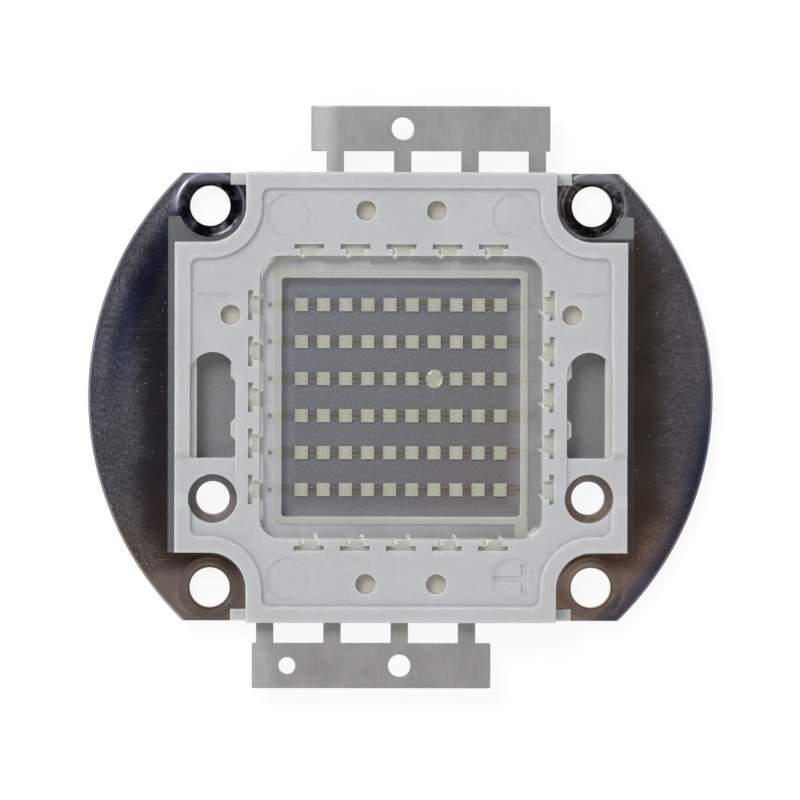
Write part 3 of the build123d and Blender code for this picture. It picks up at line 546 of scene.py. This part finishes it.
def add_wire(work, start, end, rise, lean):
    """Adds a round wire looping from one bond to the next, with its ball and its stitch."""
    half = (end.x - start.x) / 2
    reach = abs(half)
    ring = bmesh.ops.create_circle(work, segments=6, radius=WIRE_RADIUS * MM,
                                   matrix=Matrix.Translation((-reach, 0, 0)))
    bmesh.ops.spin(work, geom=list({e for v in ring["verts"] for e in v.link_edges}),
                   cent=(0, 0, 0), axis=(0, 1, 0), angle=math.pi, steps=10)
    fresh = [v for v in work.verts if v.tag is False]
    bmesh.ops.scale(work, vec=(1, 1, rise * MM / reach), verts=fresh)
    shear = Matrix.Identity(4)
    shear[0][2] = -lean
    shear[2][0] = (end.z - start.z) / (2 * reach)
    turned = Matrix.Scale(-1 if half < 0 else 1, 4, (1, 0, 0))
    middle = (start + end) / 2
    bmesh.ops.transform(work, matrix=Matrix.Translation(middle) @ turned @ shear, verts=fresh)
    for foot, tall in ((start, 0.6), (end, 0.3)):
        flat = Matrix.Translation(foot) @ Matrix.Diagonal((1, 1, tall, 1))
        bmesh.ops.create_uvsphere(work, u_segments=8, v_segments=4, radius=BALL_RADIUS * MM, matrix=flat)
    for v in work.verts:
        v.tag = True


for row in range(ROWS):
    y = ((ROWS - 1) / 2 - row) * ROW_PITCH
    work = bmesh.new()
    for column in range(COLUMNS - 1):
        x = (column - (COLUMNS - 1) / 2) * COLUMN_PITCH
        for side in (-1, 1):
            start = Vector((x + BOND_OUT, y + side * WIRE_SPREAD / 2, DIE_TOP)) * MM
            end = Vector((x + COLUMN_PITCH - BOND_OUT, y + side * WIRE_SPREAD / 2, DIE_TOP)) * MM
            add_wire(work, start, end, LINK_RISE, LINK_LEAN)
    finish_piece(work, f"gold_wires_row_{row + 1}", gold, [f"bond_wires_row_{row + 1}"])
for name, way in (("left", -1), ("right", 1)):
    work = bmesh.new()
    for row in range(ROWS):
        for side in (-1, 1):
            y = ((ROWS - 1) / 2 - row) * ROW_PITCH + side * WIRE_SPREAD / 2
            start = Vector((way * ((COLUMNS - 1) / 2 * COLUMN_PITCH + BOND_OUT), y, DIE_TOP)) * MM
            end = Vector((way * LEDGE_BOND, y, LEDGE_TOP)) * MM
            add_wire(work, start, end, LEDGE_RISE, LEDGE_LEAN)
    finish_piece(work, f"gold_wires_to_{name}_lead", gold, [f"ledge_wires_{name}"])


# Silicone: poured clear over the dies up to just under the frame's panel, and cured. It wets the
# plastic, so it creeps up every wall and into the T shaped locks, and holds a curved brim there.

# Clear silicone: glass to the eye, with glints along its brim and a faint ripple. It lets light and
# reflections through unbent, so the dies and the ledge under it aren't left in the dark.
silicone = bpy.data.materials.new("cast_clear_silicone")
silicone.use_nodes = True
tree = silicone.node_tree
tree.nodes.remove(tree.nodes["Principled BSDF"])
place = add_node(tree, "TexCoord").outputs["Object"]
ripple = add_node(tree, "TexNoise", {"Scale": per_mm(5), "Detail": 2.0}, {"Vector": place})
bump = add_node(tree, "Bump", {"Strength": 1.0, "Distance": 0.02 * MM}, {"Height": ripple.outputs[0]})
glass = add_node(tree, "BsdfGlass", {"Color": linear("#FCFDFB"), "Roughness": 0.14, "IOR": 1.41},
                 {"Normal": bump.outputs[0]})
clear = add_node(tree, "BsdfTransparent", {"Color": linear("#FAFBF8")})
ray = add_node(tree, "LightPath")
lit = add_node(tree, "Math", {"operation": "MAXIMUM"},
               {0: ray.outputs["Is Shadow Ray"], 1: ray.outputs["Is Diffuse Ray"]})
lit = add_node(tree, "Math", {"operation": "MAXIMUM"}, {0: lit.outputs[0], 1: ray.outputs["Is Glossy Ray"]})
body = add_node(tree, "MixShader", links={0: lit.outputs[0], 1: glass.outputs[0], 2: clear.outputs[0]})
tree.links.new(body.outputs[0], tree.nodes["Material Output"].inputs["Surface"])

# The space that it fills, a hair wider than the CAD's, in millimetres: the window above the ledge,
# the field inside the lip, and the locks. Then the height of the pool, and its brim's rise and width.
CAVITY, CAVITY_CORNER, CAVITY_FLOOR = Vector((12.655, 12.66)), 1.9, 2.595
FIELD, FIELD_CORNER, FIELD_FLOOR, FIELD_TOP = Vector((10.705, 10.71)), 0.35, 1.495, 3.0
STEM_WIDTH, STEM_LENGTH = 1.62, 0.6
BAR_WIDTH, BAR_LENGTH = 2.67, 0.43
LOCK_PITCH, LOCK_FLOOR, LOCKS_EACH_WAY = 4.11, 3.445, 2
POOL, BRIM, CREEP = 3.42, 0.44, 0.8
SLAB_BOTTOM, MOULD_TOP, CELL = 1.0, 4.5, 0.12


def add_block(work, low, high, corner=0.0):
    """Adds a block between two corners, in millimetres, with its upright edges rounded."""
    size = (high - low) * MM
    middle = (high + low) / 2 * MM
    made = bmesh.ops.create_cube(work, size=1.0, matrix=Matrix.Translation(middle)
                                 @ Matrix.Diagonal((*size, 1.0)))
    if corner:
        edges = {e for v in made["verts"] for e in v.link_edges}
        upright = [e for e in edges if abs(e.verts[0].co.z - e.verts[1].co.z) > size.z / 2]
        bmesh.ops.bevel(work, geom=upright, offset=corner * MM, segments=8, profile=0.5,
                        affect="EDGES", material=-1)


def depth_inside(x, y, half_x, half_y, corner):
    """How far a point is inside a rounded rectangle round the origin."""
    over_x, over_y = abs(x) - (half_x - corner), abs(y) - (half_y - corner)
    outside = math.hypot(max(over_x, 0), max(over_y, 0))
    return corner - outside - min(max(over_x, over_y), 0)


def wall_distance(x, y):
    """How far a point of the silicone's surface is from the nearest plastic."""
    deepest = depth_inside(x, y, CAVITY.x, CAVITY.y, CAVITY_CORNER)
    for along, out in ((x, y), (x, -y), (y, x), (y, -x)):
        past_wall = out - CAVITY.y
        if past_wall < -4:
            continue
        nearest = max(-LOCKS_EACH_WAY, min(LOCKS_EACH_WAY, round(along / LOCK_PITCH))) * LOCK_PITCH
        off_middle = abs(along - nearest)
        to_end = STEM_LENGTH + BAR_LENGTH - past_wall
        if off_middle < STEM_WIDTH / 2:
            to_corner = math.hypot(STEM_WIDTH / 2 - off_middle, max(-past_wall, 0))
            deepest = max(deepest, min(to_corner, to_end))
        deepest = max(deepest, min(BAR_WIDTH / 2 - off_middle, to_end, past_wall - STEM_LENGTH))
    return max(deepest, 0.0)


work = bmesh.new()
half = CAVITY.x + STEM_LENGTH + BAR_LENGTH + 0.2
cells = round(2 * half / CELL)
bmesh.ops.create_grid(work, x_segments=cells, y_segments=cells, size=half * MM)
for v in work.verts:
    v.co.z = (POOL + BRIM * math.exp(-wall_distance(v.co.x / MM, v.co.y / MM) / CREEP)) * MM
for _ in range(2):
    bmesh.ops.smooth_vert(work, verts=work.verts, factor=0.5, use_axis_z=True)
skirt = bmesh.ops.extrude_edge_only(work, edges=[e for e in work.edges if e.is_boundary])
low_rim = [g for g in skirt["geom"] if isinstance(g, bmesh.types.BMVert)]
for v in low_rim:
    v.co.z = SLAB_BOTTOM * MM
bmesh.ops.contextual_create(work, geom=[e for e in work.edges if e.is_boundary])
bmesh.ops.recalc_face_normals(work, faces=work.faces)
slab_mesh = bpy.data.meshes.new("silicone_gel")
work.to_mesh(slab_mesh)
work.free()
gel = bpy.data.objects.new("silicone_gel", slab_mesh)

work = bmesh.new()
add_block(work, Vector((-CAVITY.x, -CAVITY.y, CAVITY_FLOOR)), Vector((CAVITY.x, CAVITY.y, MOULD_TOP)),
          CAVITY_CORNER)
add_block(work, Vector((-FIELD.x, -FIELD.y, FIELD_FLOOR)), Vector((FIELD.x, FIELD.y, FIELD_TOP)),
          FIELD_CORNER)
for turn in range(4):
    for index in range(-LOCKS_EACH_WAY, LOCKS_EACH_WAY + 1):
        for width, near, far in ((STEM_WIDTH, -0.5, STEM_LENGTH + 0.05),
                                 (BAR_WIDTH, STEM_LENGTH, STEM_LENGTH + BAR_LENGTH)):
            low = Vector((index * LOCK_PITCH - width / 2, CAVITY.y + near, LOCK_FLOOR))
            high = Vector((index * LOCK_PITCH + width / 2, CAVITY.y + far, MOULD_TOP))
            corners = [Matrix.Rotation(turn * math.pi / 2, 4, "Z") @ c for c in (low, high)]
            add_block(work, Vector(map(min, *corners)), Vector(map(max, *corners)))
mould_mesh = bpy.data.meshes.new("window_space")
work.to_mesh(mould_mesh)
work.free()
mould = bpy.data.objects.new("window_space", mould_mesh)
for thing in (gel, mould):
    bpy.context.scene.collection.objects.link(thing)
cut = gel.modifiers.new("pour", "BOOLEAN")
cut.operation = "INTERSECT"
cut.solver = "EXACT"
cut.use_self = True
cut.object = mould
poured = bpy.data.meshes.new_from_object(gel.evaluated_get(bpy.context.evaluated_depsgraph_get()))
gel.modifiers.clear()
gel.data = poured
bpy.data.objects.remove(mould)
poured.name = "silicone_gel"
poured.materials.clear()
poured.materials.append(silicone)
for face in poured.polygons:
    face.use_smooth = face.normal.z > 0.4
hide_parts("silicone_fill")
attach(gel, "root")


# Bead: a stray drop of the same silicone that set on the surface right over one die. It is a
# shallow lens with a wavering edge, so the die below it looks larger and fills it.
BEAD_X, BEAD_Y = 1.5 * COLUMN_PITCH, 0.5 * ROW_PITCH
BEAD_WIDTH, BEAD_DEPTH, BEAD_RISE, BEAD_SUNK, LOBES = 1.5, 1.68, 0.2, 0.006, 8
work = bmesh.new()
bmesh.ops.create_uvsphere(work, u_segments=28, v_segments=16, radius=MM)
bmesh.ops.bisect_plane(work, geom=work.verts[:] + work.edges[:] + work.faces[:], plane_co=(0, 0, 0),
                       plane_no=(0, 0, -1), clear_outer=True)
bmesh.ops.contextual_create(work, geom=[e for e in work.edges if e.is_boundary])
wander = random.Random(5)
lobes = [wander.uniform(-0.05, 0.05) for _ in range(LOBES)]
for v in work.verts:
    angle = math.atan2(v.co.y, v.co.x) / (2 * math.pi) % 1 * LOBES
    first = int(angle) % LOBES
    share = angle - int(angle)
    pull = 1 + lobes[first] * (1 - share) + lobes[(first + 1) % LOBES] * share
    v.co.x *= pull * BEAD_WIDTH / 2
    v.co.y *= pull * BEAD_DEPTH / 2
    v.co.z *= BEAD_RISE
bmesh.ops.translate(work, verts=work.verts, vec=(BEAD_X * MM, BEAD_Y * MM, (POOL - BEAD_SUNK) * MM))
bead = finish_piece(work, "silicone_bead_lens", silicone, ["silicone_bead"])
for face in bead.data.polygons:
    face.use_smooth = face.normal.z > -0.5


# Floor: a white sweep under the part. It shows plain white to the camera and in the metal, and still
# takes a faint shadow.
FLOOR_HALF, FLOOR_BELOW = 3.0, 0.02
white, shader, tree, place = new_material("white_sweep", "#E8E8E8", 0.9)
dust = add_node(tree, "TexNoise", {"Scale": per_mm(40)}, {"Vector": place})
tone = add_node(tree, "ValToRGB", links={"Fac": dust.outputs[0]})
tone.color_ramp.elements[0].color = linear("#F4F4F4")
tone.color_ramp.elements[1].color = linear("#F8F8F8")
tree.links.new(tone.outputs[0], shader.inputs["Base Color"])
glow = add_node(tree, "Emission", {"Strength": 1.0})
ray = add_node(tree, "LightPath")
seen = add_node(tree, "Math", {"operation": "MAXIMUM"},
                {0: ray.outputs["Is Camera Ray"], 1: ray.outputs["Is Glossy Ray"]})
seen = add_node(tree, "Math", {"operation": "MAXIMUM"},
                {0: seen.outputs[0], 1: ray.outputs["Is Transmission Ray"]})
share = add_node(tree, "Math", {"operation": "MULTIPLY", 1: 0.9}, {0: seen.outputs[0]})
mixed = add_node(tree, "MixShader", links={0: share.outputs[0], 1: shader.outputs[0], 2: glow.outputs[0]})
tree.links.new(mixed.outputs[0], tree.nodes["Material Output"].inputs["Surface"])
work = bmesh.new()
bmesh.ops.create_grid(work, x_segments=1, y_segments=1, size=FLOOR_HALF)
bmesh.ops.translate(work, verts=work.verts, vec=(0, 0, -FLOOR_BELOW * MM))
floor_mesh = bpy.data.meshes.new("floor")
work.to_mesh(floor_mesh)
work.free()
floor_mesh.materials.append(white)
floor = bpy.data.objects.new("floor", floor_mesh)
bpy.context.scene.collection.objects.link(floor)


# Room: walls that are pale all round and brightest in front, and a dark ceiling over the camera, bluish
# on the left and brownish on the right, which is what the bright nickel shows. The camera sees white.
world = bpy.data.worlds.new("studio")
bpy.context.scene.world = world
world.use_nodes = True
tree = world.node_tree
tree.nodes.clear()
toward = add_node(tree, "TexCoord").outputs["Generated"]
parts = add_node(tree, "SeparateXYZ", links={0: toward})
DARK_MIDDLE = Vector((-0.13, 0.19, 1.0)).normalized()
apart = add_node(tree, "VectorMath", {"operation": "DOT_PRODUCT", 1: DARK_MIDDLE}, {0: toward})
pale = add_node(tree, "MapRange", {"interpolation_type": "SMOOTHSTEP", "From Min": 0.93, "From Max": 0.8},
                {"Value": apart.outputs["Value"]})
hue = add_node(tree, "VectorMath", {"operation": "DOT_PRODUCT", 1: (0.6, -0.8, 0)}, {0: toward})
hue = add_node(tree, "MapRange", {"From Min": -0.05, "From Max": 0.06}, {"Value": hue.outputs["Value"]})
ceiling = add_node(tree, "ValToRGB", links={"Fac": hue.outputs[0]})
ceiling.color_ramp.elements[0].color = linear("#3E4450")
ceiling.color_ramp.elements[1].color = linear("#6A5B50")
walls = add_node(tree, "MapRange", {"From Min": -0.7, "From Max": 0.7}, {"Value": parts.outputs["Y"]})
wall_tone = add_node(tree, "ValToRGB", links={"Fac": walls.outputs[0]})
wall_tone.color_ramp.elements[0].color = (1.35, 1.34, 1.32, 1.0)
wall_tone.color_ramp.elements[1].color = linear("#D2D5DB")
room = add_node(tree, "Mix", {"data_type": "RGBA"},
                {0: pale.outputs[0], 6: ceiling.outputs[0], 7: wall_tone.outputs[0]})
studio = add_node(tree, "Background", {"Strength": 0.8}, {"Color": room.outputs[2]})
behind = add_node(tree, "Background", {"Color": (1, 1, 1, 1), "Strength": 1.0})
ray = add_node(tree, "LightPath")
shown = add_node(tree, "MixShader", links={0: ray.outputs["Is Camera Ray"], 1: studio.outputs[0],
                                           2: behind.outputs[0]})
add_node(tree, "OutputWorld", links={"Surface": shown.outputs[0]})

# Lamps: a soft key from the upper left, and one from the lower right that is flagged off from all
# but the silicone and picks out its brim.
for name, spot, size, power in (("key", (-0.42, 0.55, 0.8), (0.5, 0.5), 8.1),
                                ("spark", (0.315, -0.2, 0.38), (0.42, 0.2), 2.4)):
    lamp = bpy.data.lights.new(name, "AREA")
    lamp.shape = "RECTANGLE"
    lamp.size, lamp.size_y = size
    lamp.energy = power
    holder = bpy.data.objects.new(name, lamp)
    holder.location = spot
    holder.rotation_euler = (-Vector(spot)).to_track_quat("-Z", "Y").to_euler()
    bpy.context.scene.collection.objects.link(holder)
    if name == "spark":
        unflagged = bpy.data.collections.new("silicone_only")
        for piece in (gel, bead):
            unflagged.objects.link(piece)
        holder.light_linking.receiver_collection = unflagged

# Camera: straight above, half a metre up, with a long lens.
lens = bpy.data.cameras.new("photo_camera")
lens.sensor_width = 36
lens.lens = 250.43
lens.clip_start = 0.01
camera = bpy.data.objects.new("photo_camera", lens)
camera.location = (-8.71 * MM, 9.86 * MM, 0.5)
camera.rotation_euler = (math.radians(-1.165), math.radians(-0.99), math.radians(0.148))
bpy.context.scene.collection.objects.link(camera)
bpy.context.scene.camera = camera
bpy.context.scene.view_settings.view_transform = "Standard"
